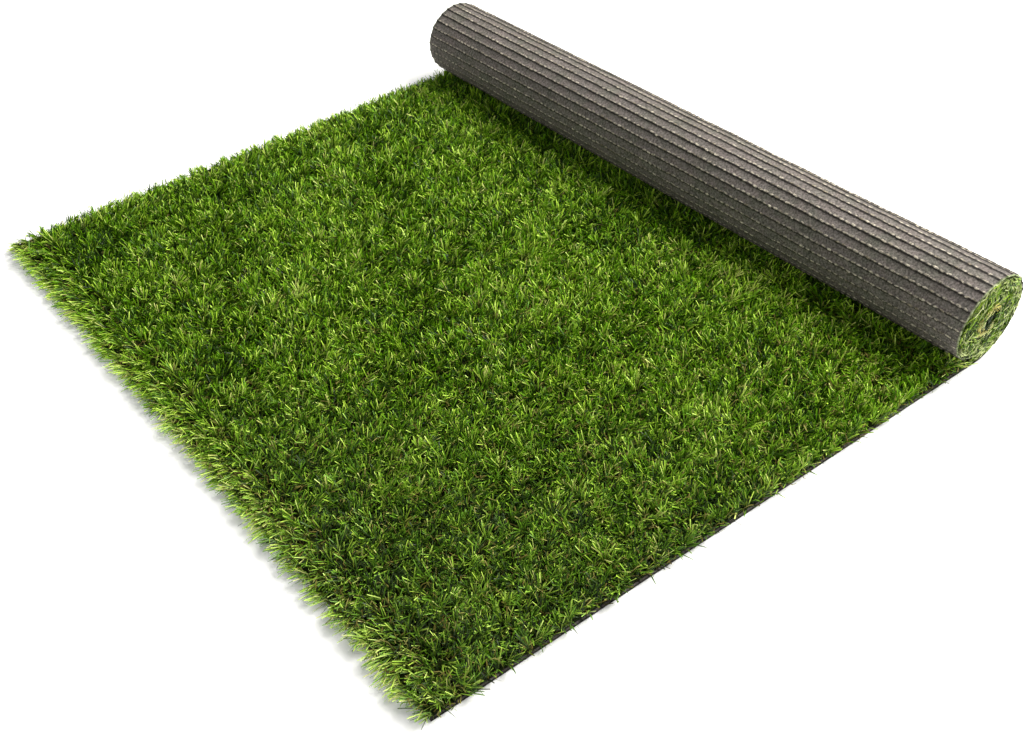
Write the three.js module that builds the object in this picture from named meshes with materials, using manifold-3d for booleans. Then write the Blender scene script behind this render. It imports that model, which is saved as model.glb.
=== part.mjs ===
// A roll of artificial grass: one tufted mat that lies flat with its grass up, and whose other end is
// still wound up with the grass inside, so that the back of the mat is the outside of the roll.
//
// Millimetres, +Z up. +X runs along the mat, from its free end to the roll. +Y runs across the mat,
// along the axis of the roll. The floor is z = 0, and the origin is on it under the middle of the
// object's box.

import * as THREE from "three";
import { mergeVertices } from "three/addons/utils/BufferGeometryUtils.js";
import Module from "manifold-3d";

// The mat
const MAT_WIDTH = 1000;
const MAT_LENGTH = 1600; // along the backing, from the free end to the end inside the roll
const BACKING_THICKNESS = 2;
const PILE_HEIGHT = 25; // the grass that stands on the flat stretch, above the backing

// How it lies and how it is wound
const FLAT_LENGTH = 790; // from the free end to where the mat leaves the floor, under the roll's axis
const PRESSED_PILE = 12; // the same grass where it is pressed between two turns
const EYE_RADIUS = 8; // the open eye of the roll where it is narrowest, beside the mat's inner end

// The grass at the free end leans out over the edge of the backing
const END_LEAN = 22; // how far its tips reach past the backing
const LEAN_START = 34; // how far in from the edge the grass starts to lean
const LEAN_TIP_RISE = 6; // how high the leaning tips are above the backing

// The blades stand in clumps, with lower gaps between them
const CLUMP_SPACING = 41; // from the middle of one clump to the next
const CLUMP_RISE = 12; // how far the highest tips stand above the lowest gaps
const CLUMP_SHIFT = 0.25; // how far a top or a gap may be off its place, as a share of the grid's step
const CLUMP_SPREAD = 0.3; // how much the tops and the gaps differ among themselves, as a share of the rise
const CLUMP_SEED = 4011; // the clumps are drawn at random, but the same each time

// Facets, and the space kept between the grass and the backing
const CLEARANCE = 0.3;
const STEPS_PER_TURN = 64;
const STEPS_OF_LEAN = 8;

const FULL_TURN = 2 * Math.PI;
const PITCH = BACKING_THICKNESS + PRESSED_PILE;
const INNER_END_RADIUS = EYE_RADIUS + PITCH;
const WOUND_LENGTH = MAT_LENGTH - FLAT_LENGTH;
const ROOT_HEIGHT = BACKING_THICKNESS + CLEARANCE;
const TIP_HEIGHT = BACKING_THICKNESS + PILE_HEIGHT;
const MATTED_HEIGHT = TIP_HEIGHT - CLUMP_RISE; // below this the grass has no gaps
const LEAN_TIP_HEIGHT = ROOT_HEIGHT + LEAN_TIP_RISE;

// The winding is an Archimedean spiral, so its length fixes its outer radius and its turns.
const ROLL_RADIUS = Math.sqrt(INNER_END_RADIUS ** 2 + (WOUND_LENGTH * PITCH) / Math.PI);
const WOUND_ANGLE = (FULL_TURN * (ROLL_RADIUS - INNER_END_RADIUS)) / PITCH;

const backingMaterial = new THREE.MeshStandardMaterial({
  name: "backing",
  color: new THREE.Color(0.36, 0.33, 0.31),
  roughness: 0.85,
  metalness: 0,
});

const grassMaterial = new THREE.MeshStandardMaterial({
  name: "grass",
  color: new THREE.Color(0.16, 0.3, 0.06),
  roughness: 0.55,
  metalness: 0,
});

// A point of the winding in the mat's section. turned is the angle since the mat left the floor, and
// inward is how far inside the back of the mat the point lies.
function windingPoint(turned, inward) {
  const radius = ROLL_RADIUS - (PITCH * turned) / FULL_TURN - inward;
  return new THREE.Vector2(
    FLAT_LENGTH + radius * Math.sin(turned),
    ROLL_RADIUS - radius * Math.cos(turned),
  );
}

// The points of the winding from one angle to another, in either direction.
function windingPoints(from, to, inward) {
  const steps = Math.ceil((Math.abs(to - from) * STEPS_PER_TURN) / FULL_TURN);
  const points = [];
  for (let i = 0; i <= steps; i += 1) {
    points.push(windingPoint(from + ((to - from) * i) / steps, inward));
  }
  return points;
}

// The backing's section: a sheet that runs flat along the floor, up round the far side of the roll,
// over its top and inward, turn after turn.
function backingOutline() {
  const back = windingPoints(0, WOUND_ANGLE, 0);
  const front = windingPoints(WOUND_ANGLE, 0, BACKING_THICKNESS);
  return [
    new THREE.Vector2(0, 0),
    ...back,
    ...front,
    new THREE.Vector2(0, BACKING_THICKNESS),
  ];
}

// The angle at which the outer turn, coming down on the side of the flat stretch, meets the tips of
// the standing grass.
function nipAngle(tipHeight) {
  let above = FULL_TURN / 2;
  let below = FULL_TURN;
  for (let i = 0; i < 40; i += 1) {
    const middle = (above + below) / 2;
    if (windingPoint(middle, -CLEARANCE).y > tipHeight) {
      above = middle;
    } else {
      below = middle;
    }
  }
  return below;
}

// The round of the grass where it leans out at the free end, from its top to its tips.
function leaningEnd(height) {
  const points = [];
  for (let i = 0; i <= STEPS_OF_LEAN; i += 1) {
    const angle = (FULL_TURN / 4) * (1 + i / STEPS_OF_LEAN);
    points.push(
      new THREE.Vector2(
        LEAN_START + (LEAN_START + END_LEAN) * Math.cos(angle),
        LEAN_TIP_HEIGHT + (height - LEAN_TIP_HEIGHT) * Math.sin(angle),
      ),
    );
  }
  return points;
}

// How high that round is at a length of the mat. Further in, the grass has its full height.
function leaningHeight(along, height) {
  const out = Math.max(0, LEAN_START - along) / (LEAN_START + END_LEAN);
  return LEAN_TIP_HEIGHT + (height - LEAN_TIP_HEIGHT) * Math.sqrt(1 - out ** 2);
}

// The grass's section below the clumps: matted on the flat stretch, pressed down in the nip under the
// roll, and from there between the turns to the mat's inner end, round the open eye.
function grassOutline() {
  return [
    new THREE.Vector2(0, ROOT_HEIGHT),
    ...windingPoints(0, WOUND_ANGLE, ROOT_HEIGHT),
    ...windingPoints(WOUND_ANGLE + FULL_TURN, nipAngle(MATTED_HEIGHT), -CLEARANCE),
    ...leaningEnd(MATTED_HEIGHT),
  ];
}

// A block whose top is a grid of points. Every second point, both ways, is the top of a clump, and the
// others are the gaps round it. The first and last rows are sunk in the matted grass, as its bottom is.
function clumps() {
  const first = -0.9 * END_LEAN;
  const last = windingPoint(nipAngle(TIP_HEIGHT), -CLEARANCE).x - CLEARANCE;
  const bottom = LEAN_TIP_HEIGHT + CLEARANCE;
  const columns = 2 * Math.round((last - first) / CLUMP_SPACING);
  const rows = 2 * Math.round(MAT_WIDTH / CLUMP_SPACING);
  const shift = (CLUMP_SHIFT * CLUMP_SPACING) / 2;
  const geometry = new THREE.BoxGeometry(last - first, 2, MAT_WIDTH, columns, 1, rows);
  geometry.translate((first + last) / 2, 0, MAT_WIDTH / 2);
  const places = geometry.getAttribute("position");
  for (let k = 0; k < places.count; k += 1) {
    const i = Math.round(((places.getX(k) - first) / (last - first)) * columns);
    const j = Math.round((places.getZ(k) / MAT_WIDTH) * rows);
    if (places.getY(k) < 0) {
      places.setY(k, bottom);
      continue;
    }
    const sunk = i === 0 || i === columns;
    const level = THREE.MathUtils.seededRandom(CLUMP_SEED + i * (rows + 1) + j);
    if (!sunk && j > 0 && j < rows) {
      places.setX(k, places.getX(k) + shift * (2 * THREE.MathUtils.seededRandom() - 1));
      places.setZ(k, places.getZ(k) + shift * (2 * THREE.MathUtils.seededRandom() - 1));
    }
    const high = leaningHeight(places.getX(k), TIP_HEIGHT);
    const low = leaningHeight(places.getX(k), MATTED_HEIGHT);
    const spread = CLUMP_SPREAD * level * (high - low);
    if (sunk) {
      places.setY(k, (bottom + low) / 2);
    } else if (i % 2 === 1 && j % 2 === 0) {
      places.setY(k, high - spread);
    } else {
      places.setY(k, low + CLEARANCE + spread);
    }
  }
  return geometry;
}

const sections = { backing: backingOutline(), grass_pile: grassOutline() };
const materials = { backing: backingMaterial, grass_pile: grassMaterial };
const box = new THREE.Box2().setFromPoints(Object.values(sections).flat());
const middle = box.getCenter(new THREE.Vector2());

// Each section is drawn in the mat's length and height, and extruded across the mat.
function acrossTheMat(section) {
  return new THREE.ExtrudeGeometry(new THREE.Shape(section), {
    depth: MAT_WIDTH,
    steps: 1,
    bevelEnabled: false,
  });
}

const wasm = await Module();
wasm.setup();

// The solid inside a geometry.
function solid(geometry) {
  const bare = geometry.clone();
  bare.deleteAttribute("normal");
  bare.deleteAttribute("uv");
  const merged = mergeVertices(bare);
  return new wasm.Manifold(
    new wasm.Mesh({
      numProp: 3,
      vertProperties: new Float32Array(merged.getAttribute("position").array),
      triVerts: new Uint32Array(merged.index.array),
    }),
  );
}

// Two overlapping geometries as one.
function joined(first, second) {
  const mesh = solid(first).add(solid(second)).getMesh();
  const geometry = new THREE.BufferGeometry();
  geometry.setAttribute("position", new THREE.BufferAttribute(mesh.vertProperties, 3));
  geometry.setIndex(new THREE.BufferAttribute(mesh.triVerts, 1));
  geometry.computeVertexNormals();
  return geometry;
}

const geometries = {
  backing: acrossTheMat(sections.backing),
  grass_pile: joined(acrossTheMat(sections.grass_pile), clumps()),
};

// The pieces are turned so that their height points up, and moved to the object's origin.
function matPiece(name) {
  const mesh = new THREE.Mesh(geometries[name], materials[name]);
  mesh.name = name;
  mesh.rotation.x = FULL_TURN / 4;
  mesh.position.set(-middle.x, MAT_WIDTH / 2, -box.min.y);
  return mesh;
}

const grassRoll = new THREE.Group();
grassRoll.name = "artificial_grass_roll";
grassRoll.add(matPiece("backing"), matPiece("grass_pile"));

export default grassRoll;
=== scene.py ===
"""The looks of a roll of artificial grass: one tufted mat, part laid flat, part wound up.

Metres, +Z up. +X runs along the mat from its free end to the roll, +Y runs across it. A place on the
mat is given by along, the length from the free end, across, and depth, the height above its back.
"""

import math

import bmesh
import bpy
import numpy as np
from bpy.props import FloatProperty, FloatVectorProperty, IntProperty, PointerProperty
from mathutils import Matrix, Vector
from mathutils.bvhtree import BVHTree


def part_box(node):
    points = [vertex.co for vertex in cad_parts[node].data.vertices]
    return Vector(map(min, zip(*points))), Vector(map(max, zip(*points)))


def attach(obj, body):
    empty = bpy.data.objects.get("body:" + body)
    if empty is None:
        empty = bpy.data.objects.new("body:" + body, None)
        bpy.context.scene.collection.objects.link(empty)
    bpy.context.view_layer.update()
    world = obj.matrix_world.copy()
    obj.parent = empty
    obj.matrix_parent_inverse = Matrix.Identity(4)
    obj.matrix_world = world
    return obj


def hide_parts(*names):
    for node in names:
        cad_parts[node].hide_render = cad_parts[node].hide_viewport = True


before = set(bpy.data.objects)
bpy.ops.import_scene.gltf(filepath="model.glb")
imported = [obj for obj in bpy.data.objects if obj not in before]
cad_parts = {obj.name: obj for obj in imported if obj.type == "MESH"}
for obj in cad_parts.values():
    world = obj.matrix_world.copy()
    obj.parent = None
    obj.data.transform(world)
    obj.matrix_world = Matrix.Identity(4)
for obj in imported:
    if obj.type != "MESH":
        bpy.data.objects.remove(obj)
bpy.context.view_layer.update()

bl_info = {
    "name": "Artificial grass roll",
    "version": (1, 0, 0),
    "blender": (4, 5, 0),
    "location": "3D View > Sidebar > Turf",
    "description": "Dresses the solids of a part-rolled artificial grass mat",
    "category": "Object",
}

BACKING_LOW, BACKING_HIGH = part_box("backing")
PILE_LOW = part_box("grass_pile")[0]
FULL_TURN = 2 * math.pi

# The winding of the solids, read back from their boxes and these three sizes
PITCH = 0.014  # from one turn of the backing to the next
SHEET = 0.002  # the backing's thickness
INNER_END_RADIUS = 0.022  # where the mat ends inside the roll
EYE_RADIUS = 0.010  # kept clear of blades
ROLL_RADIUS = (BACKING_HIGH.z + PITCH / 2) / 2
ROLL_X = BACKING_HIGH.x - ROLL_RADIUS + PITCH / 4
FREE_END_X = BACKING_LOW.x
END_LEAN = FREE_END_X - PILE_LOW.x  # how far the grass leans out at the free end
FLAT_LENGTH = ROLL_X - FREE_END_X
HALF_WIDTH = BACKING_HIGH.y
WOUND_LENGTH = math.pi * (ROLL_RADIUS**2 - INNER_END_RADIUS**2) / PITCH
MAT_LENGTH = FLAT_LENGTH + WOUND_LENGTH

FULL_HEIGHT = 0.027  # to the tips of the highest clumps
NIP_LENGTH = 0.055  # the stretch in front of the roll's axis where the outer turn is over the grass
TOP_STEP = 0.005  # from one reading of the pile's height to the next
FIRST_ROW = 0.3  # how far the first row of stitches is from the free end, in gauges
BLADE_FLOOR = 0.0006  # no blade comes nearer to the floor
STITCH_FLOOR = 0.0003  # no stitch back comes nearer to the floor

# At the ends of the roll
PROUD = 0.0045  # how far the pile stands out of the roll's end at most
INNER_STRAW = 0.11  # the last stretch of the mat, where the thatch shows

# Further colours of the finishes, beside those in the settings
# The brightest blade yarn, in part a painted glint standing in for the gloss of the blades
BRIGHT_GREEN_AND_GLINT = (0.52, 0.67, 0.15, 1)
OLIVE_STRAW = (0.44, 0.47, 0.13, 1)
CORNER_GREY = (0.20, 0.16, 0.17, 1)
# Near-black greens of the root zone: painted shade down among the roots
ROOT_SHADE_BLACK = (0.004, 0.009, 0.001, 1)
ROOT_SHADE_GREEN = (0.028, 0.040, 0.007, 1)
OLIVE_LATEX = (0.138, 0.134, 0.110, 1)
WARM_LATEX = (0.19, 0.158, 0.146, 1)
# The flat stretch's cut side edges, near black: painted shade
CUT_EDGE_SHADE = (0.010, 0.012, 0.007, 1)
FRAYED_GREEN = (0.10, 0.15, 0.04, 1)
FRAYED_PALE = (0.48, 0.54, 0.30, 1)
STITCH_SHADE = (0.12, 0.10, 0.075, 1)
STITCH_TAN = (0.27, 0.23, 0.16, 1)
STITCH_PALE = (0.60, 0.54, 0.42, 1)
STITCH_BLOTCH = (0.11, 0.10, 0.085, 1)
FLOOR_WHITE = (0.93, 0.93, 0.93, 1)

# The seeds of the random draws, one for each piece
SEEDS = {
    "backing": 11,
    "stitches": 23,
    "clumps": 31,
    "blades": 47,
    "thatch": 59,
    "roll_ends": 71,
}


def length_setting(name, description, default):
    return FloatProperty(name=name, description=description, default=default, unit="LENGTH")


def angle_setting(name, description, degrees):
    return FloatProperty(
        name=name, description=description, default=math.radians(degrees), subtype="ANGLE"
    )


def count_setting(name, description, default):
    return IntProperty(name=name, description=description, default=default, min=1)


def color_setting(name, description, default):
    return FloatVectorProperty(
        name=name,
        description=description,
        subtype="COLOR",
        size=4,
        min=0,
        max=1,
        default=(*default, 1),
    )


class TurfMatSettings(bpy.types.PropertyGroup):
    """Sizes of the backing, its stitches and the pile."""

    row_gauge: length_setting(
        "Row gauge", "From one row of stitches to the next, along the mat", 0.0127
    )
    stitch_step: length_setting("Stitch step", "From one stitch to the next in its row", 0.0088)
    stitch_width: length_setting("Stitch width", "Width of a stitch back", 0.0024)
    stitch_rise: length_setting(
        "Stitch rise", "How far a stitch back stands out of the backing", 0.0008
    )
    blade_length: length_setting("Blade length", "Length of a standing blade", 0.028)
    blade_width: length_setting("Blade width", "Width of a standing blade at its middle", 0.0014)
    blades_per_tuft: count_setting(
        "Blades in a tuft", "Standing blades sewn in with one stitch", 28
    )
    curls_per_tuft: count_setting(
        "Curls in a tuft", "Curly thatch yarns sewn in with one stitch", 3
    )
    end_blades_per_row: count_setting(
        "End blades in a row", "Blades that splay out of the roll's end from each row", 85
    )


class TurfLookSettings(bpy.types.PropertyGroup):
    """Colours of the finishes."""

    deep_green: color_setting(
        "Deep green", "The darkest of the pile's yarns", (0.011, 0.033, 0.001)
    )
    mid_green: color_setting("Mid green", "The main colour of the pile", (0.105, 0.26, 0.002))
    light_green: color_setting("Light green", "The light yarns of the pile", (0.37, 0.55, 0.045))
    # The lightest end yarns: painted light on the side-lit ends of the roll
    lit_pale_green: color_setting(
        "Pale green", "The lightest yarns at the ends of the roll", (0.68, 0.76, 0.33)
    )
    dry_yellow: color_setting(
        "Dry yellow", "The yellow yarns near the eye of the roll", (0.64, 0.53, 0.09)
    )
    straw: color_setting("Straw", "The pale dry yarns of the thatch", (0.38, 0.36, 0.10))
    thatch_brown: color_setting(
        "Thatch brown", "The dark dry yarns of the thatch", (0.13, 0.108, 0.022)
    )
    latex_grey: color_setting("Latex grey", "The coated back of the mat", (0.160, 0.144, 0.131))
    stitch_cream: color_setting(
        "Stitch cream", "The stitch backs under the coating", (0.47, 0.42, 0.33)
    )


class TurfStageSettings(bpy.types.PropertyGroup):
    """Where the camera stands."""

    azimuth: angle_setting(
        "Azimuth", "Direction from the aim to the camera, counted from +X", -122.671
    )
    elevation: angle_setting(
        "Elevation", "How far above the floor the camera looks from", 43.674
    )
    tilt: angle_setting("Tilt", "How far the camera is turned about its own axis", -4.661)
    distance: length_setting("Distance", "From the aim to the camera", 1.317)
    aim: FloatVectorProperty(
        name="Aim",
        description="The point on the floor that the camera's axis goes through",
        default=(-0.2131, -0.2021, 0.0),
        subtype="TRANSLATION",
    )
    lens: FloatProperty(
        name="Lens", description="Focal length on a sensor 36 mm wide", default=40.94
    )


# The mat's shape


def turned_at(along):
    """The angle that the winding has turned at this length of the mat."""
    wound = np.clip(np.asarray(along, float) - FLAT_LENGTH, 0, None)
    inside = np.clip(ROLL_RADIUS**2 - PITCH * wound / math.pi, 0, None)
    return (ROLL_RADIUS - np.sqrt(inside)) * FULL_TURN / PITCH


def row_numbers(mat, first, last):
    """The numbers of the stitch rows between two lengths of the mat."""
    low = math.ceil(first / mat.row_gauge - FIRST_ROW)
    high = math.floor(last / mat.row_gauge - FIRST_ROW)
    return np.arange(low, high + 1)


def rows_and_steps(mat, first, last):
    """The row and the number in it of each stitch between two lengths of the mat, and how many
    stitches a row has."""
    rows = row_numbers(mat, first, last)
    count = int(2 * HALF_WIDTH / mat.stitch_step)
    row, step = [a.ravel() for a in np.meshgrid(rows, np.arange(count), indexing="ij")]
    return row, step, count


def mat_axes(along):
    """The mat's own length and depth directions at this length of the mat."""
    turned = turned_at(along)
    zero = np.zeros_like(turned)
    length = np.stack([np.cos(turned), zero, np.sin(turned)], -1)
    depth = np.stack([-np.sin(turned), zero, np.cos(turned)], -1)
    return length, depth


def on_mat(along, across, depth):
    """The place of a point of the mat, in the row frame."""
    along = np.asarray(along, float)
    turned = turned_at(along)
    radius = ROLL_RADIUS - PITCH * turned / FULL_TURN - depth
    flat = along < FLAT_LENGTH
    x = np.where(flat, FREE_END_X + along, ROLL_X + radius * np.sin(turned))
    z = np.where(flat, depth, ROLL_RADIUS - radius * np.cos(turned))
    return np.stack([x, across + np.zeros_like(x), z], -1)


def roll_surface_radius(x, z):
    """The radius of the roll's outer turn in the direction of a point in its section."""
    turned = np.arctan2(x - ROLL_X, ROLL_RADIUS - z) % FULL_TURN
    return ROLL_RADIUS - PITCH * turned / FULL_TURN


def axis_distance(places):
    """How far places are from the roll's axis."""
    return np.hypot(places[..., 0] - ROLL_X, places[..., 2] - ROLL_RADIUS)


def sampled(grid, along, across, size):
    """Values of a grid over the mat, whose points are this size apart, smoothly between its points."""
    columns, rows = grid.shape
    u = np.clip(np.asarray(along) / size, 0, columns - 1.001)
    v = np.clip((np.asarray(across) + HALF_WIDTH) / size, 0, rows - 1.001)
    i, j = u.astype(int), v.astype(int)
    u, v = u - i, v - j
    u, v = u * u * (3 - 2 * u), v * v * (3 - 2 * v)
    low = grid[i, j] * (1 - u) + grid[i + 1, j] * u
    high = grid[i, j + 1] * (1 - u) + grid[i + 1, j + 1] * u
    return low * (1 - v) + high * v


def smooth_noise(along, across, size, rng):
    """Smooth random values from -1 to 1 over the mat, in spots of this size."""
    columns = int(MAT_LENGTH / size) + 3
    rows = int(2 * HALF_WIDTH / size) + 3
    return sampled(rng.uniform(-1, 1, (columns, rows)), along, across, size)


def pile_top():
    """How high the solid of the pile stands on the flat stretch, as a grid from the free end and from
    one side, and its slopes along and across. Near the roll the pile counts as full."""
    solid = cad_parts["grass_pile"].data
    tree = BVHTree.FromPolygons(
        [v.co for v in solid.vertices], [tuple(p.vertices) for p in solid.polygons]
    )
    columns = int(FLAT_LENGTH / TOP_STEP) + 2
    rows = int(2 * HALF_WIDTH / TOP_STEP) + 2
    heights = np.full((columns, rows), FULL_HEIGHT)
    for i in range(int((FLAT_LENGTH - NIP_LENGTH) / TOP_STEP)):
        for j in range(rows):
            y = min(j * TOP_STEP, 2 * HALF_WIDTH - TOP_STEP / 10) - HALF_WIDTH + TOP_STEP / 20
            start = Vector((FREE_END_X + i * TOP_STEP, y, 2 * FULL_HEIGHT))
            hit = tree.ray_cast(start, Vector((0, 0, -1)))[0]
            if hit is not None:
                heights[i, j] = hit.z
    return heights, *np.gradient(heights, TOP_STEP)


# Making meshes


def unit(vectors):
    """The same directions, each 1 long."""
    return vectors / np.maximum(np.linalg.norm(vectors, axis=-1, keepdims=True), 1e-9)


def linked(name, mesh, material):
    """The finished piece: linked, riding on the part and wearing its material."""
    piece = bpy.data.objects.new(name, mesh)
    bpy.context.scene.collection.objects.link(piece)
    mesh.materials.clear()
    mesh.materials.append(material)
    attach(piece, "root")
    return piece


def add_values(mesh, values):
    """Attributes of a mesh, with one number for each point under each of the names."""
    for name, numbers in values.items():
        layer = mesh.attributes.new(name, "FLOAT", "POINT")
        layer.data.foreach_set("value", numbers.astype(np.float32))


def triangle_mesh(name, points, triangles, values):
    """A mesh of triangles from arrays, with one number for each point under each of the names."""
    mesh = bpy.data.meshes.new(name)
    mesh.vertices.add(len(points))
    mesh.vertices.foreach_set("co", points.astype(np.float32).ravel())
    mesh.loops.add(triangles.size)
    mesh.loops.foreach_set("vertex_index", triangles.astype(np.int32).ravel())
    mesh.polygons.add(len(triangles))
    mesh.polygons.foreach_set("loop_start", np.arange(0, triangles.size, 3, dtype=np.int32))
    add_values(mesh, values)
    mesh.update(calc_edges=True)
    mesh.shade_smooth()
    return mesh


def add_bake_map(mesh, u, v):
    """The map that the colours are baked through: two numbers from 0 to 1 for each point."""
    loops = np.zeros(len(mesh.loops), np.int32)
    mesh.loops.foreach_get("vertex_index", loops)
    places = np.stack([u[loops], v[loops]], -1)
    layer = mesh.uv_layers.new(name="OFBake")
    layer.uv.foreach_set("vector", np.clip(places, 0.002, 0.998).astype(np.float32).ravel())


def mat_layer(name, alongs, acrosses, low, high):
    """A closed layer of the mat, from a grid that is extruded and then laid along the winding. low and
    high give the depth of its two faces from arrays of along and across."""
    bm = bmesh.new()
    bmesh.ops.create_grid(
        bm, x_segments=len(alongs) - 1, y_segments=len(acrosses) - 1, size=0.5
    )
    grown = bmesh.ops.extrude_face_region(bm, geom=bm.faces[:])
    bmesh.ops.translate(
        bm, verts=[v for v in grown["geom"] if isinstance(v, bmesh.types.BMVert)], vec=(0, 0, 1)
    )
    mesh = bpy.data.meshes.new(name)
    bm.to_mesh(mesh)
    bm.free()
    co = np.zeros(len(mesh.vertices) * 3, np.float32)
    mesh.vertices.foreach_get("co", co)
    co = co.reshape(-1, 3).astype(float)
    i = np.rint((co[:, 0] + 0.5) * (len(alongs) - 1)).astype(int)
    j = np.rint((co[:, 1] + 0.5) * (len(acrosses) - 1)).astype(int)
    along, across, front = alongs[i], acrosses[j], co[:, 2] > 0.5
    depth = np.where(front, high(along, across), low(along, across))
    mesh.vertices.foreach_set("co", on_mat(along, across, depth).astype(np.float32).ravel())
    add_values(mesh, {"along": along, "across": across})
    add_bake_map(mesh, along / MAT_LENGTH, (across / HALF_WIDTH * 0.24 + 0.25) + 0.5 * front)
    bm = bmesh.new()
    bm.from_mesh(mesh)
    bmesh.ops.recalc_face_normals(bm, faces=bm.faces[:])
    bm.to_mesh(mesh)
    bm.free()
    mesh.shade_smooth()
    return mesh


def blade_points(root, first, second, side, length, width):
    """Bent blades: a point at the root, which the pile hides, two edges at the bend, and two at the tip,
    which is cut square."""
    bend = root + first * (length * 0.5)[:, None]
    tip = bend + second * (length * 0.5)[:, None]
    half = side * (width / 2)[:, None]
    return np.stack([root, bend - half, bend + half, tip - half * 0.7, tip + half * 0.7], 1)


def strip_mesh(name, points, corners, tones, heights):
    """The mesh of many like yarns: their points, the corners of one yarn's triangles, a tone for each
    yarn, and the height, from 0 to 1, of each of one yarn's points."""
    count, each = points.shape[:2]
    triangles = (np.arange(count)[:, None, None] * each + np.array(corners)).reshape(-1, 3)
    tone = np.repeat(tones, each)
    height = np.tile(heights, count)
    values = {"tone": tone, "height": height}
    mesh = triangle_mesh(name, points.reshape(-1, 3), triangles, values)
    add_bake_map(mesh, tone, height)
    return mesh


def blade_mesh(name, points, tones):
    corners = [(0, 2, 1), (1, 2, 4), (1, 4, 3)]
    return strip_mesh(name, points, corners, tones, [0.0, 0.5, 0.5, 1.0, 1.0])


def scaled_from_axis(points, scale):
    """The points, with each one's distance from the roll's axis multiplied."""
    points[..., 0] = ROLL_X + (points[..., 0] - ROLL_X) * scale
    points[..., 2] = ROLL_RADIUS + (points[..., 2] - ROLL_RADIUS) * scale
    return points


def off_the_roll(points, spare=0.0008):
    """Moves what would be inside the roll out to its surface, as blades that stand in the nip lean on
    the outer turn."""
    radius = axis_distance(points)
    wanted = roll_surface_radius(points[..., 0], points[..., 2]) + spare
    scale = np.where(radius < wanted, wanted / np.maximum(radius, 1e-6), 1.0)
    return scaled_from_axis(points, scale)


def inside_the_roll(points, spare=0.0007):
    """Moves what would stick out past the roll's outer turn, or into its eye, back to their edges. What
    is past the end of the roll may lie over the turn's cut edge."""
    radius = axis_distance(points)
    past_the_end = np.abs(points[..., 1]) > HALF_WIDTH + 0.0006
    allowed = roll_surface_radius(points[..., 0], points[..., 2])
    allowed = allowed - np.where(past_the_end, 0.3 * SHEET, SHEET + spare)
    scale = np.minimum(allowed / np.maximum(radius, 1e-6), 1.0)
    scale = np.maximum(scale, EYE_RADIUS / np.maximum(radius, 1e-6))
    return scaled_from_axis(points, scale)


# Finishes


class Nodes:
    """A short way to add nodes to a material or a group and to join them."""

    def __init__(self, tree):
        self.tree = tree

    def add(self, kind, inputs=None, **settings):
        node = self.tree.nodes.new(kind)
        for key, value in settings.items():
            setattr(node, key, value)
        for key, value in (inputs or {}).items():
            self.put(node.inputs[key], value)
        return node

    def put(self, socket, value):
        if isinstance(value, bpy.types.NodeSocket):
            self.tree.links.new(value, socket)
        else:
            socket.default_value = value

    def value(self, name):
        return self.add("ShaderNodeAttribute", attribute_name=name).outputs["Fac"]

    def math(self, operation, a, b=0.0):
        node = self.add("ShaderNodeMath", operation=operation)
        self.put(node.inputs[0], a)
        self.put(node.inputs[1], b)
        return node.outputs[0]

    def mix(self, share, a, b, blend="MIX"):
        node = self.add("ShaderNodeMix", data_type="RGBA", blend_type=blend)
        self.put(node.inputs["Factor"], share)
        self.put(node.inputs["A"], a)
        self.put(node.inputs["B"], b)
        return node.outputs["Result"]

    def ramp(self, share, stops):
        """Colours between stops, which are given as (place, colour) from the lowest place up."""
        node = self.add("ShaderNodeValToRGB")
        self.put(node.inputs["Fac"], share)
        elements = node.color_ramp.elements
        first, *others, last = stops
        for element, (place, color) in zip(elements, (first, last)):
            element.position = place
            element.color = color
        for place, color in others:
            elements.new(place).color = color
        return node.outputs["Color"]

    def map_range(self, value, low, high, to_low, to_high):
        inputs = {
            "Value": value,
            "From Min": low,
            "From Max": high,
            "To Min": to_low,
            "To Max": to_high,
        }
        return self.add("ShaderNodeMapRange", inputs).outputs["Result"]

    def bump(self, strength, distance, height):
        inputs = {"Strength": strength, "Distance": distance, "Height": height}
        return self.add("ShaderNodeBump", inputs).outputs["Normal"]

    def noise(self, vector, scale, detail=2.0, roughness=0.5):
        inputs = {"Vector": vector, "Scale": scale, "Detail": detail, "Roughness": roughness}
        return self.add("ShaderNodeTexNoise", inputs).outputs["Fac"]


def grey(level):
    return (level, level, level, 1.0)


def new_group(name, inputs, outputs):
    """An empty node group with named sockets, and its two end nodes."""
    tree = bpy.data.node_groups.new(name, "ShaderNodeTree")
    for socket_name, kind, default in inputs:
        socket = tree.interface.new_socket(socket_name, in_out="INPUT", socket_type=kind)
        socket.default_value = default
    for socket_name, kind in outputs:
        tree.interface.new_socket(socket_name, in_out="OUTPUT", socket_type=kind)
    nodes = Nodes(tree)
    return nodes, nodes.add("NodeGroupInput"), nodes.add("NodeGroupOutput")


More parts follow.
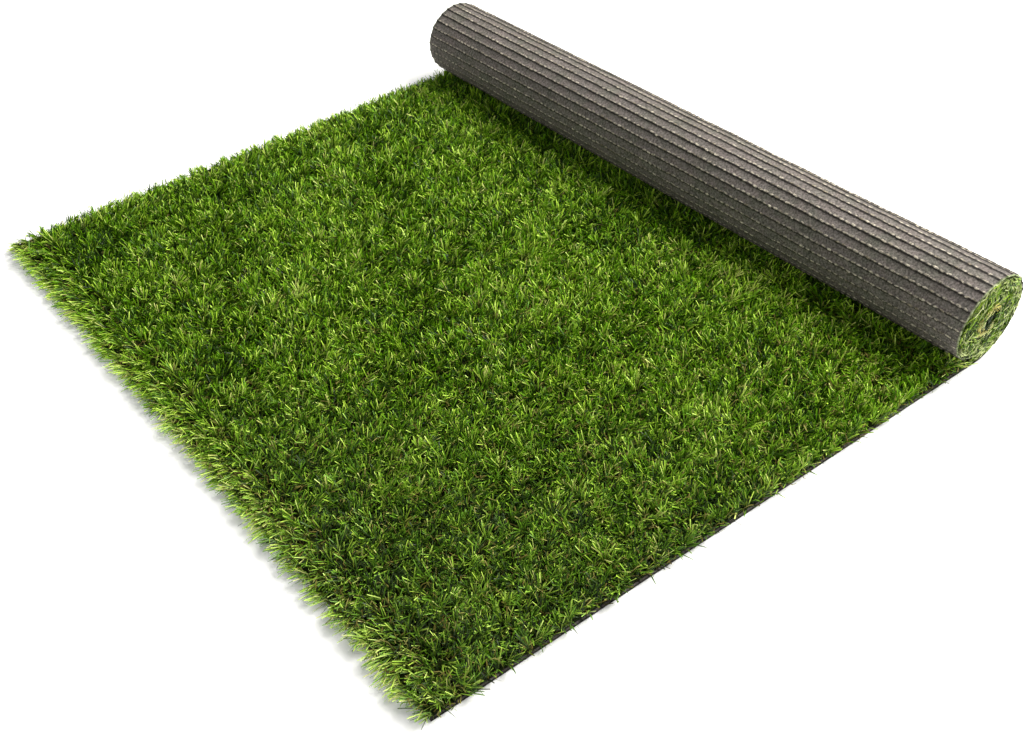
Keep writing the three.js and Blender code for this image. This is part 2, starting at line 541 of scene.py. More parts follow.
def mottling_group():
    """Soft blotches of a second colour over a first, and a fine grain."""
    name = "Coating mottling"
    if name in bpy.data.node_groups:
        return bpy.data.node_groups[name]
    nodes, given, out = new_group(
        name,
        [
            ("Color", "NodeSocketColor", grey(0.5)),
            ("Blotch", "NodeSocketColor", grey(0.4)),
            ("Blotch Size", "NodeSocketFloat", 40.0),
            ("Strength", "NodeSocketFloat", 0.6),
        ],
        [("Color", "NodeSocketColor"), ("Grain", "NodeSocketFloat")],
    )
    place = nodes.add("ShaderNodeTexCoord").outputs["Object"]
    blotch = nodes.noise(place, given.outputs["Blotch Size"], 4.0, 0.6)
    blotch = nodes.map_range(blotch, 0.4, 0.65, 0.0, 1.0)
    share = nodes.math("MULTIPLY", blotch, given.outputs["Strength"])
    grain = nodes.noise(place, 900.0, 3.0, 0.7)
    color = nodes.mix(share, given.outputs["Color"], given.outputs["Blotch"])
    shade = nodes.ramp(grain, [(0.3, grey(0.72)), (0.7, grey(1.12))])
    color = nodes.mix(1.0, color, shade, "MULTIPLY")
    speck = nodes.noise(place, 400.0, 2.0, 0.6)
    shade = nodes.ramp(speck, [(0.32, grey(0.35)), (0.5, grey(0.95)), (0.68, grey(1.75))])
    nodes.put(out.inputs["Color"], nodes.mix(0.8, color, shade, "MULTIPLY"))
    nodes.put(out.inputs["Grain"], grain)
    return nodes.tree


def yarn_shade_and_light_group():
    """The yarn's colour from its tone, with painted shade toward the root and painted light toward the
    tip.
    """
    name = "Yarn colour"
    if name in bpy.data.node_groups:
        return bpy.data.node_groups[name]
    nodes, given, out = new_group(
        name,
        [
            ("Color", "NodeSocketColor", grey(0.5)),
            ("Root Shade", "NodeSocketFloat", 0.35),
            ("Tip Lift", "NodeSocketFloat", 1.15),
        ],
        [("Color", "NodeSocketColor")],
    )
    ends = given.outputs["Root Shade"], given.outputs["Tip Lift"]
    # Painted shade at the root and painted light at the tip, along the yarn's height
    level = nodes.map_range(nodes.value("height"), 0.0, 1.0, *ends)
    shade = nodes.add("ShaderNodeCombineColor", {"Red": level, "Green": level, "Blue": level})
    color = nodes.mix(1.0, given.outputs["Color"], shade.outputs["Color"], "MULTIPLY")
    nodes.put(out.inputs["Color"], color)
    return nodes.tree


def new_material(name, roughness, specular):
    """A material with its shader set, and the way to add nodes to it."""
    material = bpy.data.materials.new(name)
    material.use_nodes = True
    nodes = Nodes(material.node_tree)
    shader = material.node_tree.nodes["Principled BSDF"]
    shader.inputs["Roughness"].default_value = roughness
    shader.inputs["Specular IOR Level"].default_value = specular
    return material, nodes, shader


def grouped(nodes, tree, **inputs):
    """A node group placed in a material, with its own values."""
    node = nodes.add("ShaderNodeGroup", node_tree=tree)
    for key, value in inputs.items():
        nodes.put(node.inputs[key.replace("_", " ")], value)
    return node


def yarn_material(name, roughness, specular, stops, painted_root_shade, painted_tip_light, tint=None):
    """Yarn whose colour follows its tone, through the stops, with painted shade at the root and painted
    light at the tip. tint may change that colour.
    """
    material, nodes, shader = new_material(name, roughness, specular)
    color = nodes.ramp(nodes.value("tone"), stops)
    if tint:
        color = tint(nodes, color)
    yarn = grouped(
        nodes, yarn_shade_and_light_group(), Color=color, Root_Shade=painted_root_shade, Tip_Lift=painted_tip_light
    )
    nodes.put(shader.inputs["Base Color"], yarn.outputs["Color"])
    return material


def greyer_corner(nodes, color):
    """A little greyer toward the corner of the free end and the near side."""
    place = nodes.add("ShaderNodeTexCoord").outputs["Object"]
    axes = nodes.add("ShaderNodeSeparateXYZ", {"Vector": place}).outputs
    toward_corner = nodes.math("ADD", axes["X"], axes["Y"])
    return nodes.mix(nodes.map_range(toward_corner, -0.25, -0.80, 0.0, 0.10), color, CORNER_GREY)


def blade_material(look):
    """Satin extruded yarn in mixed greens, with a few straw ones; the brightest green is in part a
    painted glint.
    """
    stops = [
        (0.0, look.deep_green),
        (0.27, look.deep_green),
        (0.54, look.mid_green),
        (0.81, look.light_green),
        # In part a painted glint
        (0.97, BRIGHT_GREEN_AND_GLINT),
        (1.0, OLIVE_STRAW),
    ]
    # 0.04 and 1.45: painted shade at the root, painted light at the tip
    return yarn_material("grass yarn", 0.42, 0.2, stops, 0.04, 1.45, greyer_corner)


def cut_end_material(look):
    """The same yarn where the mat's side edges show the pressed pile: paler with painted light, and
    yellow by the eye.
    """
    stops = [
        (0.0, look.deep_green),
        (0.12, look.deep_green),
        (0.35, look.mid_green),
        (0.62, look.light_green),
        # Painted light on the ends
        (0.85, look.lit_pale_green),
        (0.94, look.lit_pale_green),
        (1.0, look.dry_yellow),
    ]
    # 0.2 and 1.1: painted shade at the root, painted light at the tip
    return yarn_material("cut pile yarn", 0.5, 0.15, stops, 0.2, 1.1)


def thatch_material(look):
    """Crimped dull yarn in browns, straw and a little green."""
    stops = [
        (0.0, look.thatch_brown),
        (0.3, look.mid_green),
        (0.5, look.thatch_brown),
        (0.8, look.thatch_brown),
        (1.0, look.straw),
    ]
    # 0.2 and 1.1: painted shade at the root, painted light at the tip
    return yarn_material("thatch yarn", 0.7, 0.1, stops, 0.2, 1.1)


def shaded_bed_material():
    """The root zone of the pile, between the tufts and between the turns, near black as painted shade.
    """
    material, nodes, shader = new_material("pile roots in painted shade", 0.9, 0.1)
    place = nodes.add("ShaderNodeTexCoord").outputs["Object"]
    fine = nodes.noise(place, 420.0, 4.0, 0.7)
    # Painted shade: the roots drawn near black
    color = nodes.ramp(fine, [(0.35, ROOT_SHADE_BLACK), (0.75, ROOT_SHADE_GREEN)])
    nodes.put(shader.inputs["Base Color"], color)
    nodes.put(shader.inputs["Normal"], nodes.bump(0.8, 0.002, fine))
    return material


def row_shadow_lines(nodes, along, across, mat):
    """Painted shade on the backing from one row of stitches to the next: a painted shadow in a dark line
    just behind the row, on the ridge's steep side, which wanders a little along it."""
    wander = nodes.add("ShaderNodeCombineXYZ", {"X": across, "Y": along}).outputs["Vector"]
    wandering = nodes.noise(wander, 230.0, 2.0, 0.6)
    offset = nodes.math("MULTIPLY", nodes.math("SUBTRACT", wandering, 0.5), 0.25)
    rows = nodes.math("SUBTRACT", nodes.math("DIVIDE", along, mat.row_gauge), FIRST_ROW)
    phase = nodes.math("FRACT", nodes.math("ADD", rows, offset))
    # The dark stops just behind the row are the painted shadow of its ridge
    stops = [
        (0.0, grey(0.5)),
        (0.03, grey(0.24)),
        (0.13, grey(0.29)),
        (0.21, grey(0.9)),
        (0.4, grey(1.0)),
        (0.97, grey(0.95)),
        (1.0, grey(0.5)),
    ]
    return nodes.ramp(phase, stops)


def with_cut_edges(nodes, color, place, along, across):
    """The cut side edges are near black, painted shade, and pale with loose yarn where the roll turns
    over.
    """
    from_middle = nodes.math("DIVIDE", nodes.math("ABSOLUTE", across), HALF_WIDTH)
    edge = nodes.ramp(from_middle, [(0.9985, grey(0.0)), (0.9995, grey(1.0))])
    wound = nodes.math("GREATER_THAN", along, FLAT_LENGTH + 0.14)
    loose = nodes.noise(place, 150.0, 2.0, 0.6)
    frayed = nodes.ramp(loose, [(0.4, FRAYED_GREEN), (0.6, FRAYED_PALE)])
    return nodes.mix(edge, color, nodes.mix(wound, CUT_EDGE_SHADE, frayed))


def backing_material(look, mat):
    """Woven sheet under a dull latex coat: a fine weave, blotches, and painted shadow lines by the rows.
    """
    material, nodes, shader = new_material("coated backing", 0.78, 0.12)
    along = nodes.value("along")
    across = nodes.value("across")
    place = nodes.add("ShaderNodeTexCoord").outputs["Object"]
    tint = nodes.ramp(
        nodes.noise(place, 24.0, 3.0, 0.6), [(0.42, look.latex_grey), (0.62, OLIVE_LATEX)]
    )
    mottling = grouped(
        nodes, mottling_group(), Color=tint, Blotch=WARM_LATEX, Blotch_Size=55.0, Strength=0.7
    )
    # The coat, darkened by the painted shadow lines beside the rows
    lines = row_shadow_lines(nodes, along, across, mat)
    color = nodes.mix(1.0, mottling.outputs["Color"], lines, "MULTIPLY")
    color = with_cut_edges(nodes, color, place, along, across)
    nodes.put(shader.inputs["Base Color"], color)
    # The weave: ribs along and across the mat, about 1 mm apart
    ribs = nodes.math("SINE", nodes.math("MULTIPLY", along, FULL_TURN / 0.0011))
    cross_ribs = nodes.math("SINE", nodes.math("MULTIPLY", across, FULL_TURN / 0.0013))
    weave = nodes.math("MULTIPLY", nodes.math("MULTIPLY", ribs, cross_ribs), 0.25)
    height = nodes.math("ADD", weave, mottling.outputs["Grain"])
    nodes.put(shader.inputs["Normal"], nodes.bump(0.9, 0.0006, height))
    return material


def stitch_material(look):
    """Stitch backs in cream and tan under the coat, each with its own tone."""
    material, nodes, shader = new_material("coated stitches", 0.7, 0.15)
    stops = [
        (0.0, STITCH_SHADE),
        (0.35, STITCH_TAN),
        (0.7, look.stitch_cream),
        (1.0, STITCH_PALE),
    ]
    mottling = grouped(
        nodes,
        mottling_group(),
        Color=nodes.ramp(nodes.value("tone"), stops),
        Blotch=STITCH_BLOTCH,
        Blotch_Size=320.0,
        Strength=0.8,
    )
    nodes.put(shader.inputs["Base Color"], mottling.outputs["Color"])
    nodes.put(shader.inputs["Normal"], nodes.bump(0.7, 0.0005, mottling.outputs["Grain"]))
    return material


# The pieces


def stations(stops):
    """Lengths from one stop to the next, each stretch in its own number of equal steps."""
    lengths = [np.array([stops[0][0]])]
    for (start, _), (end, steps) in zip(stops, stops[1:]):
        lengths.append(np.linspace(start, end, steps + 1)[1:])
    return np.concatenate(lengths)


class TurfLayBacking(bpy.types.Operator):
    """Make the backing: a thin coated sheet that puckers at each row of stitches"""

    bl_idname = "turf.lay_backing"
    bl_label = "Lay backing"

    row_steps = (-0.22, -0.06, 0.03, 0.10, 0.17, 0.5)  # the mesh's lines at each row, in gauges
    across_lines = 113
    inset = 0.0011  # how far the back lies inside the solid's, so that the ridges reach it
    ridge = 0.0016  # how high the backing puckers at a row of stitches
    ridge_rise = 0.0045  # the length of the ridge's slope before the row
    ridge_fall = 0.0016  # the length of its slope behind the row

    def execute(self, context):
        mat, look = context.scene.turf_mat, context.scene.turf_look
        rng = np.random.default_rng(SEEDS["backing"])
        swell = rng.integers(1 << 30)
        outer_end = FLAT_LENGTH + FULL_TURN * ROLL_RADIUS
        rows = row_numbers(mat, FLAT_LENGTH, outer_end)
        places = rows[:, None] + FIRST_ROW + np.array(self.row_steps)
        shown = (places * mat.row_gauge).ravel()
        alongs = np.concatenate(
            [
                stations([(0.0, 0), (shown[0], 12)])[:-1],
                shown,
                stations([(shown[-1], 0), (MAT_LENGTH, 56)])[1:],
            ]
        )
        acrosses = np.linspace(-HALF_WIDTH, HALF_WIDTH, self.across_lines)

        def back(along, across):
            phase = along / mat.row_gauge - FIRST_ROW
            from_row = (phase - np.rint(phase)) * mat.row_gauge
            slow = smooth_noise(along, across, 0.06, np.random.default_rng(swell))
            fine = smooth_noise(along, across, 0.009, np.random.default_rng(swell + 1))
            # The flat stretch lies smooth, and the roll swells, wrinkles and puckers
            rolled = np.clip((along - FLAT_LENGTH) / 0.03, 0, 1)
            rising = np.clip(1 + from_row / self.ridge_rise, 0, 1) ** 2
            falling = np.clip(1 - from_row / self.ridge_fall, 0, 1)
            ridge = self.ridge * rising * falling
            return rolled * (0.0004 * slow + 0.0003 * fine - ridge) + self.inset

        def front(along, across):
            return np.full_like(along, SHEET)

        mesh = mat_layer("woven_backing", alongs, acrosses, back, front)
        piece = linked("woven_backing", mesh, backing_material(look, mat))
        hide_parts("backing")
        return {"FINISHED"}


def stitch_shape(lengths):
    """One stitch back: a low bar along +Y with round ends, 1 long, 1 wide and 1 high, with a ridge of
    points at each of the lengths. Its underside is open, because it lies on the backing."""
    points = [(0.0, -0.5, 0.0)]
    for y in lengths:
        plump = math.sqrt(1 - (2 * y) ** 2 * 0.8)
        points += [(-0.5 * plump, y, 0.0), (0.0, y, plump), (0.5 * plump, y, 0.0)]
    points.append((0.0, 0.5, 0.0))
    last = len(points) - 1
    triangles = [(0, 2, 1), (0, 3, 2), (last, last - 3, last - 2), (last, last - 2, last - 1)]
    for k in range(len(lengths) - 1):
        a, b = 1 + 3 * k, 4 + 3 * k
        for side in (0, 1):
            triangles.append((a + side, a + side + 1, b + side + 1))
            triangles.append((a + side, b + side + 1, b + side))
    return np.array(points), np.array(triangles)


def sew_stitches(name, first, last, base, ridges, mat, rng, material):
    """The rows of stitch backs between two lengths of the mat. base is the depth that they lie on."""
    row, step, _ = rows_and_steps(mat, first, last)
    total = len(row)
    row_shift = rng.uniform(-0.5, 0.5, row[-1] + 1)
    across = (step + 0.5 + row_shift[row] * 0.8) * mat.stitch_step - HALF_WIDTH
    across = np.clip(across, -HALF_WIDTH + 0.003, HALF_WIDTH - 0.003)
    along = (row + FIRST_ROW) * mat.row_gauge + rng.normal(-0.0006, 0.00025, total)
    length = mat.stitch_step * rng.uniform(0.64, 0.92, total)
    width = mat.stitch_width * rng.uniform(0.7, 1.2, total)
    rise = mat.stitch_rise * rng.uniform(0.6, 1.15, total)
    skew = rng.normal(0, 0.10, total)
    shape, triangles = stitch_shape(ridges)
    y = shape[None, :, 1] * length[:, None]
    s = shape[None, :, 0] * width[:, None] + y * skew[:, None]
    d = base - shape[None, :, 2] * rise[:, None]
    points = on_mat(along[:, None] + s, across[:, None] + y, d)
    points[..., 2] = np.maximum(points[..., 2], STITCH_FLOOR)
    faces = (np.arange(total)[:, None, None] * len(shape) + triangles).reshape(-1, 3)
    tone = np.repeat(np.clip(rng.normal(0.70, 0.2, total), 0, 1), len(shape))
    high = np.tile(shape[:, 2], total)
    mesh = triangle_mesh(name, points.reshape(-1, 3), faces, {"tone": tone, "height": high})
    add_bake_map(mesh, tone, high * 0.9)
    linked(name, mesh, material)


class TurfSewStitches(bpy.types.Operator):
    """Make the rows of stitch backs, on the outside of the roll and under the flat stretch"""

    bl_idname = "turf.sew_stitches"
    bl_label = "Sew stitches"

    def execute(self, context):
        mat, look = context.scene.turf_mat, context.scene.turf_look
        rng = np.random.default_rng(SEEDS["stitches"])
        material = stitch_material(look)
        start = FLAT_LENGTH + 0.004
        outer_end = FLAT_LENGTH + FULL_TURN * ROLL_RADIUS * 0.97
        on_roll = ("roll_stitches", start, outer_end, 0.0, (-0.4, -0.15, 0.15, 0.4))
        under_mat = ("underside_stitches", mat.row_gauge, FLAT_LENGTH, 0.0013, (-0.25, 0.25))
        for stretch in (on_roll, under_mat):
            sew_stitches(*stretch, mat, rng, material)
        return {"FINISHED"}


class TurfLayBed(bpy.types.Operator):
    """Make the root zone of the pile: low on the flat stretch, and filling the space between turns"""

    bl_idname = "turf.lay_bed"
    bl_label = "Lay root zone"

    inset = 0.003  # from the side edges of the mat
    gap = 0.0005  # kept free over the backing, and under the next turn
    height = 0.004  # on the flat stretch
    climb = 0.05  # the stretch before the roll in which it comes to fill the space between turns

    def execute(self, context):
        climb_start = FLAT_LENGTH - self.climb
        alongs = stations([(0.002, 0), (climb_start, 40), (MAT_LENGTH - 0.002, 200)])
        acrosses = np.array([-1.0, -0.5, 0.0, 0.5, 1.0]) * (HALF_WIDTH - self.inset)

        def low(along, across):
            return np.full_like(along, SHEET + self.gap)

        def high(along, across):
            pressed = np.clip((along - climb_start) / self.climb, 0, 1)
            full = PITCH - SHEET - 2 * self.gap
            return SHEET + self.gap + self.height + (full - self.height) * pressed

        mesh = mat_layer("pile_roots", alongs, acrosses, low, high)
        piece = linked("pile_roots", mesh, shaded_bed_material())
        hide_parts("grass_pile")
        return {"FINISHED"}


def tuft_places(mat, first, last):
    """The place of each tuft between two lengths of the mat."""
    row, step, count = rows_and_steps(mat, first, last)
    along = (row + FIRST_ROW) * mat.row_gauge
    across = (step + 0.5) * 2 * HALF_WIDTH / count - HALF_WIDTH
    return along, across


def pile_lean(along, across, slopes):
    """Which way the pile leans at each place, as (along, across): down its clumps, and out at the
    edges."""
    rng = np.random.default_rng(SEEDS["clumps"])
    lean_along = 0.22 * smooth_noise(along, across, 0.06, rng) + 0.1
    lean_across = 0.22 * smooth_noise(along, across, 0.06, rng)
    lean_along += 0.30 * smooth_noise(along, across, 0.018, rng)
    lean_across += 0.30 * smooth_noise(along, across, 0.018, rng)
    lean_along -= 0.5 * sampled(slopes[0], along, across, TOP_STEP)
    lean_across -= 0.5 * sampled(slopes[1], along, across, TOP_STEP)
    free_end = np.clip(1 - along / (1.9 * END_LEAN), 0, 1)
    lean_along -= (2.2 + 1.3 * smooth_noise(along, across, 0.011, rng)) * free_end**1.2
    past = np.clip((np.abs(across) - (HALF_WIDTH - 0.012)) / 0.012, 0, 1)
    lean_across = lean_across * (1 - 0.6 * past) - np.sign(across) * 0.05 * past
    return lean_along, lean_across


def pile_tone_and_light(along, across, level):
    """How light the yarn is at each place, around 0: its own tone in random blotches, and painted light:
    lighter on the taller clumps, toward the roll and the near side, at the free end and at the far edge,
    and painted shade in the nip beside the roll. level is the height of the pile there, from 0 to 1."""
    rng = np.random.default_rng(SEEDS["clumps"] + 1)
    # The yarn's own tone, in random blotches
    tone = 0.08 * smooth_noise(along, across, 0.08, rng)
    tone += 0.08 * smooth_noise(along, across, 0.016, rng)
    free_end = np.clip(1 - along / 0.035, 0, 1)
    far_edge = np.clip((across - HALF_WIDTH) / 0.05 + 1, 0, 1)
    nip_shade = np.clip((along - FLAT_LENGTH + 0.10) / 0.06, 0, 1)
    # Painted light: lighter on the taller clumps and at the free end's fringe
    tone = tone + 0.2 * (level - 0.55) + 0.2 * free_end
    # Painted light: lighter toward the roll and toward the near side
    tone = tone + 0.10 * (along / FLAT_LENGTH - 0.5) - 0.02 * across / HALF_WIDTH
    # Painted light at the far edge, and painted shade in the nip beside the roll
    return tone + 0.26 * far_edge - 0.2 * nip_shade


def pile_levels(heights, along, across):
    """How high the pile stands at each place, from 0 in the gaps to 1 on the clumps, and how far each
    place is toward the free end and the far edge. Toward those the pile gets even."""
    level = np.clip(sampled(heights, along, across, TOP_STEP) / FULL_HEIGHT * 2 - 1, 0, 1)
    free_end = np.clip(1 - along / 0.04, 0, 1)
    level = level + (0.7 - level) * free_end
    far_edge = np.clip((across - HALF_WIDTH) / 0.02 + 1, 0, 1)
    level = level + (0.2 - level) * far_edge
    return level, free_end, far_edge


def standing_blades(name, first, last, mat, top, rng, material):
    """The blades of the tufts between two lengths of the mat. Each blade takes the lean and the tone
    of its place, painted light and shade included, and a part of its own."""
    tuft_along, tuft_across = tuft_places(mat, first, last)
    per_tuft = mat.blades_per_tuft
    along = np.repeat(tuft_along, per_tuft)
    across = np.repeat(tuft_across, per_tuft)
    total = len(along)
    heights, *slopes = top
    level, free_end, far_edge = pile_levels(heights, along, across)
    lean_along, lean_across = pile_lean(along, across, slopes)
    lean_along += np.repeat(rng.normal(0, 0.25, len(tuft_along)), per_tuft)
    lean_across += np.repeat(rng.normal(0, 0.25, len(tuft_along)), per_tuft)
    tone = pile_tone_and_light(along, across, level)
    tone += np.repeat(rng.normal(0, 0.09, len(tuft_along)), per_tuft)
    along = along + rng.normal(0, 0.0017, total)
    across = across + rng.normal(0, 0.0019, total)
    along = np.clip(along, 0.0006, FLAT_LENGTH)
    across = np.clip(across, -HALF_WIDTH + 0.0005, HALF_WIDTH - 0.0005)
    # One blade in five strays far from the lean of its tuft
    stray = np.where(rng.uniform(0, 1, total) < 0.2, 0.75, 0.3) * (1 - 0.5 * far_edge)
    lean_along = lean_along * (1 - 0.5 * free_end * rng.uniform(0, 1, total))
    lean_along = lean_along + rng.normal(0, 1, total) * stray
    lean_across = lean_across + rng.normal(0, 1, total) * stray * (1 + 0.5 * free_end)
    length = mat.blade_length * rng.uniform(0.62, 1.08, total) * (0.75 + 0.29 * level)
    length *= (1 + free_end * rng.uniform(-0.3, 0.2, total)) * (1 - 0.25 * far_edge)
    width = mat.blade_width * rng.uniform(0.7, 1.2, total) * (1 - 0.25 * free_end)
    bend = rng.uniform(0.5, 1.6, total)
    root = on_mat(along, across, SHEET)
    ones = np.ones(total)
    first_way = unit(np.stack([lean_along * 0.6, lean_across * 0.6, ones], -1))
    droop = 1.0 - 0.35 * bend * np.hypot(lean_along, lean_across)
    second_way = unit(
        np.stack([lean_along * (1 + bend), lean_across * (1 + bend), np.maximum(droop, -0.1)], -1)
    )
    angle = rng.uniform(0, FULL_TURN, total)
    flat = np.stack([np.cos(angle), np.sin(angle), np.zeros(total)], -1)
    side = unit(np.cross(first_way, flat))
    points = blade_points(root, first_way, second_way, side, length, width)
    points[:, 1:] = off_the_roll(points[:, 1:])
    points[..., 2] = np.maximum(points[..., 2], BLADE_FLOOR)
    tone = np.clip(0.5 + tone + rng.normal(0, 0.24, total), 0, 1)
    linked(name, blade_mesh(name, points, tone), material)


class TurfStandGrass(bpy.types.Operator):
    """Make the standing blades of the flat stretch, in strips across the mat"""

    bl_idname = "turf.stand_grass"
    bl_label = "Stand grass"

    strips = 4

    def execute(self, context):
        mat, look = context.scene.turf_mat, context.scene.turf_look
        rng = np.random.default_rng(SEEDS["blades"])
        material = blade_material(look)
        last = FLAT_LENGTH - 0.016
        bounds = np.linspace(0.0005, last, self.strips + 1)
        top = pile_top()
        for k in range(self.strips):
            name = f"standing_grass_{k + 1}"
            standing_blades(name, bounds[k], bounds[k + 1], mat, top, rng, material)
        return {"FINISHED"}


def crimped_yarns(name, along, across, depth, rng, material):
    """Curly yarns that zigzag low over the roots, each a narrow strip of three steps."""
    total = len(along)
    steps = 3
    heading = rng.uniform(0, FULL_TURN, total)
    length = rng.uniform(0.012, 0.022, total)
    width = rng.uniform(0.0008, 0.0014, total)
    rise = rng.uniform(0.003, 0.013, total) * (1.1 - 0.35 * across / HALF_WIDTH)
    root = on_mat(along, across, depth)
    share = np.linspace(0, 1, steps + 1)
    curl = rng.uniform(-1.3, 1.3, (total, steps + 1)).cumsum(1) + heading[:, None]
    step_x = np.cos(curl) * (length / steps)[:, None]
    step_y = np.sin(curl) * (length / steps)[:, None]
    x = root[:, 0:1] + step_x.cumsum(1) - step_x[:, :1]
    y = root[:, 1:2] + step_y.cumsum(1) - step_y[:, :1]
    z = root[:, 2:3] + rise[:, None] * np.sin(share * 2.2)
    z = z + rng.normal(0, 0.0012, (total, steps + 1))
    z = np.maximum(z, SHEET + 0.0005)
    middle = np.stack([x, y, z], -1)
    side = np.stack([-np.sin(curl), np.cos(curl), rng.normal(0, 0.5, (total, steps + 1))], -1)
    half = unit(side) * (width / 2)[:, None, None]
    points = np.stack([middle - half, middle + half], 2).reshape(total, -1, 3)
    points = off_the_roll(points)
    points[..., 1] = np.clip(points[..., 1], -HALF_WIDTH - 0.006, HALF_WIDTH + 0.006)
    corners = []
    for a in range(0, 2 * steps, 2):
        corners += [(a, a + 1, a + 3), (a, a + 3, a + 2)]
    mesh = strip_mesh(name, points, corners, rng.uniform(0, 1, total), np.repeat(share, 2))
    linked(name, mesh, material)


class TurfCurlThatch(bpy.types.Operator):
    """Make the crimped thatch yarns between the standing blades"""

    bl_idname = "turf.curl_thatch"
    bl_label = "Curl thatch"

    def execute(self, context):
        mat, look = context.scene.turf_mat, context.scene.turf_look
        rng = np.random.default_rng(SEEDS["thatch"])
        tuft_along, tuft_across = tuft_places(mat, 0.0005, FLAT_LENGTH - 0.03)
        along = np.repeat(tuft_along, mat.curls_per_tuft)
        across = np.repeat(tuft_across, mat.curls_per_tuft)
        along = np.clip(along + rng.normal(0, 0.003, len(along)), 0.001, FLAT_LENGTH)
        across = np.clip(
            across + rng.normal(0, 0.003, len(across)), 0.001 - HALF_WIDTH, HALF_WIDTH - 0.001
        )
        material = thatch_material(look)
        crimped_yarns("curly_thatch", along, across, SHEET + 0.001, rng, material)
        return {"FINISHED"}


def splayed_blades(end, mat, rng):
    """The crossed blades of the pressed pile at one end of the roll, -1 or 1: their points and tones."""
    first = FLAT_LENGTH - 0.005
    rows = np.arange(first, MAT_LENGTH - 0.002, mat.row_gauge)
    along = np.repeat(rows, mat.end_blades_per_row)
    total = len(along)
    along = np.clip(along + rng.normal(0, 0.004, total), first, MAT_LENGTH - 0.001)
    inset = rng.uniform(0.0, 0.013, total)
    inner = rng.uniform(0, INNER_STRAW, total) > MAT_LENGTH - along
    inset = np.where(inner, 0.3 * inset, inset)
    root = on_mat(along, end * (HALF_WIDTH - inset), SHEET)
    length_way, depth_way = mat_axes(along)
    out = end * np.array([0.0, 1.0, 0.0])
    lean = rng.normal(0, 0.6, total)[:, None]
    first_way = unit(
        depth_way * rng.uniform(0.3, 1.0, total)[:, None]
        + out * rng.uniform(0.1, 0.6, total)[:, None]
        + length_way * lean
    )
    second_way = unit(
        depth_way * rng.uniform(-0.2, 1.1, total)[:, None]
        + out * rng.uniform(-0.3, 0.3, total)[:, None]
        + length_way * (lean + rng.normal(0, 0.6, total)[:, None])
    )
    length = rng.uniform(0.012, 0.028, total)
    width = mat.blade_width * rng.uniform(0.8, 1.4, total)
    side = unit(np.cross(first_way, unit(rng.normal(0, 1, (total, 3)))))
    points = blade_points(root, first_way, second_way, side, length, width)
    # Painted shade: darker the deeper a blade stands in the end and the nearer it is to the axis, and
    # darkest across the eye; yellow yarn by the inner end
    outward = axis_distance(root) / ROLL_RADIUS
    tone = rng.normal(0.38, 0.36, total) - 52 * (inset - 0.004) + 0.5 * (outward - 0.65)
    tone = np.where(inner, rng.uniform(0.9, 1.0, total), np.clip(tone, 0, 0.92))
    distance = axis_distance(points)
    # Painted shade in the eye: blades across it take the darkest tone
    tone = np.where(distance.min(1) < EYE_RADIUS, 0.0, tone)
    # Less proud toward the rim
    proud = PROUD * np.clip(4 * (1 - distance / ROLL_RADIUS), 0.3, 1)
    limit = HALF_WIDTH + proud * rng.uniform(0.0, 1.0, total)[:, None]
    past = np.clip(np.abs(points[..., 1]) - limit, 0, None)
    points[..., 1] -= end * past * rng.uniform(0.9, 1.4, total)[:, None]
    wound = along > FLAT_LENGTH + 0.012
    points[wound] = inside_the_roll(points[wound])
    points[..., 2] = np.maximum(points[..., 2], BLADE_FLOOR)
    return points, tone


class TurfSplayRollEnds(bpy.types.Operator):
    """Make the crossed blades of the pressed pile that show at the two ends of the roll"""

    bl_idname = "turf.splay_roll_ends"
    bl_label = "Splay roll ends"

    def execute(self, context):
        mat, look = context.scene.turf_mat, context.scene.turf_look
        material = cut_end_material(look)
        rng = np.random.default_rng(SEEDS["roll_ends"])
        for name, end in (("near_end_grass", -1), ("far_end_grass", 1)):
            points, tone = splayed_blades(end, mat, rng)
            linked(name, blade_mesh(name, points, tone), material)
        return {"FINISHED"}


# The stage


def area_light(name, place, aim, size, power, color):
    light = bpy.data.lights.new(name, "AREA")
    light.shape = "RECTANGLE"
    light.size, light.size_y = size
    light.energy = power
    light.color = color
    lamp = bpy.data.objects.new(name, light)
    bpy.context.scene.collection.objects.link(lamp)
    lamp.location = place
    lamp.rotation_euler = (Vector(aim) - Vector(place)).to_track_quat("-Z", "Y").to_euler()


def lay_floor(scene):
    bm = bmesh.new()
    bmesh.ops.create_grid(bm, x_segments=1, y_segments=1, size=14.0)
    mesh = bpy.data.meshes.new("floor")
    bm.to_mesh(mesh)
    bm.free()
    floor = bpy.data.objects.new("floor", mesh)
    scene.collection.objects.link(floor)
    material, _, shader = new_material("pale floor", 0.9, 0.1)
    shader.inputs["Base Color"].default_value = FLOOR_WHITE
    mesh.materials.append(material)


def light_studio(scene):
    world = bpy.data.worlds.new("soft studio")
    world.use_nodes = True
    background = world.node_tree.nodes["Background"]
    background.inputs["Color"].default_value = (1, 1, 1, 1)
    background.inputs["Strength"].default_value = 0.38
    scene.world = world
    area_light("key", (1.9, -0.55, 2.3), (0.0, 0.0, 0.0), (2.0, 2.0), 202, (1, 0.98, 0.94))
    area_light("fill", (-1.8, 0.0, 1.3), (0, 0, 0), (2.0, 2.0), 10, (0.97, 0.98, 1))
    area_light("rim", (1.5, -1.3, 1.0), (0.4, -0.5, 0.1), (0.8, 0.8), 9, (1, 0.99, 0.97))


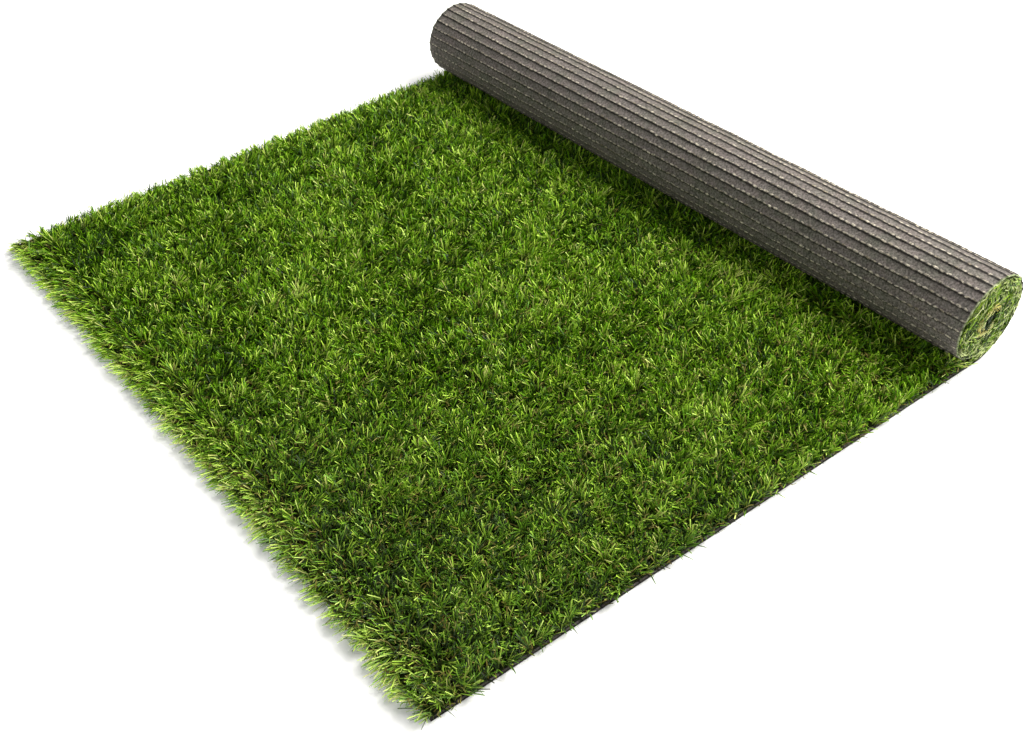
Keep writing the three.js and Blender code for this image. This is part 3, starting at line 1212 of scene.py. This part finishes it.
class TurfSetStage(bpy.types.Operator):
    """Set the pale floor, the soft light and the camera"""

    bl_idname = "turf.set_stage"
    bl_label = "Set stage"

    image_width = 1024
    image_height = 734
    sensor = 36.0
    axis_pixel = (418.3, 449.1)  # where the camera's axis meets the picture

    def execute(self, context):
        scene = context.scene
        lay_floor(scene)
        light_studio(scene)
        self.set_camera(scene, scene.turf_stage)
        scene.view_settings.view_transform = "Standard"
        scene.view_settings.look = "None"
        return {"FINISHED"}

    def set_camera(self, scene, stage):
        level_reach = math.cos(stage.elevation)
        back = Vector(
            (
                level_reach * math.cos(stage.azimuth),
                level_reach * math.sin(stage.azimuth),
                math.sin(stage.elevation),
            )
        )
        level = (-back).cross(Vector((0, 0, 1))).normalized()
        upright = level.cross(-back)
        right = math.cos(stage.tilt) * level + math.sin(stage.tilt) * upright
        up = -math.sin(stage.tilt) * level + math.cos(stage.tilt) * upright
        camera_data = bpy.data.cameras.new("camera")
        camera_data.sensor_width = self.sensor
        camera_data.lens = stage.lens
        camera_data.shift_x = 0.5 - self.axis_pixel[0] / self.image_width
        camera_data.shift_y = (self.axis_pixel[1] - self.image_height / 2) / self.image_width
        camera_data.clip_start = 0.01
        camera = bpy.data.objects.new("camera", camera_data)
        scene.collection.objects.link(camera)
        turn = Matrix((right, up, back)).transposed().to_4x4()
        place = Vector(stage.aim) + back * stage.distance
        camera.matrix_world = Matrix.Translation(place) @ turn
        scene.camera = camera


class TurfPanel(bpy.types.Panel):
    """The sidebar panel that lists the steps and their sizes"""

    bl_idname = "TURF_PT_panel"
    bl_label = "Artificial grass roll"
    bl_space_type = "VIEW_3D"
    bl_region_type = "UI"
    bl_category = "Turf"

    def draw(self, context):
        for group_name in ("turf_mat", "turf_look", "turf_stage"):
            group = getattr(context.scene, group_name)
            column = self.layout.column()
            for key in group.__annotations__:
                column.prop(group, key)
        for operator in OPERATORS:
            self.layout.operator(operator.bl_idname)


SETTINGS = {
    "turf_mat": TurfMatSettings,
    "turf_look": TurfLookSettings,
    "turf_stage": TurfStageSettings,
}
OPERATORS = (
    TurfSetStage,
    TurfLayBacking,
    TurfSewStitches,
    TurfLayBed,
    TurfStandGrass,
    TurfCurlThatch,
    TurfSplayRollEnds,
)


def register():
    for group in SETTINGS.values():
        bpy.utils.register_class(group)
    for name, group in SETTINGS.items():
        setattr(bpy.types.Scene, name, PointerProperty(type=group))
    for operator in OPERATORS:
        bpy.utils.register_class(operator)
    bpy.utils.register_class(TurfPanel)


def unregister():
    bpy.utils.unregister_class(TurfPanel)
    for operator in reversed(OPERATORS):
        bpy.utils.unregister_class(operator)
    for name in SETTINGS:
        delattr(bpy.types.Scene, name)
    for group in reversed(SETTINGS.values()):
        bpy.utils.unregister_class(group)


def main():
    register()
    bpy.ops.turf.set_stage()
    bpy.ops.turf.lay_backing()
    bpy.ops.turf.sew_stitches()
    bpy.ops.turf.lay_bed()
    bpy.ops.turf.stand_grass()
    bpy.ops.turf.curl_thatch()
    bpy.ops.turf.splay_roll_ends()


if __name__ == "__main__":
    main()
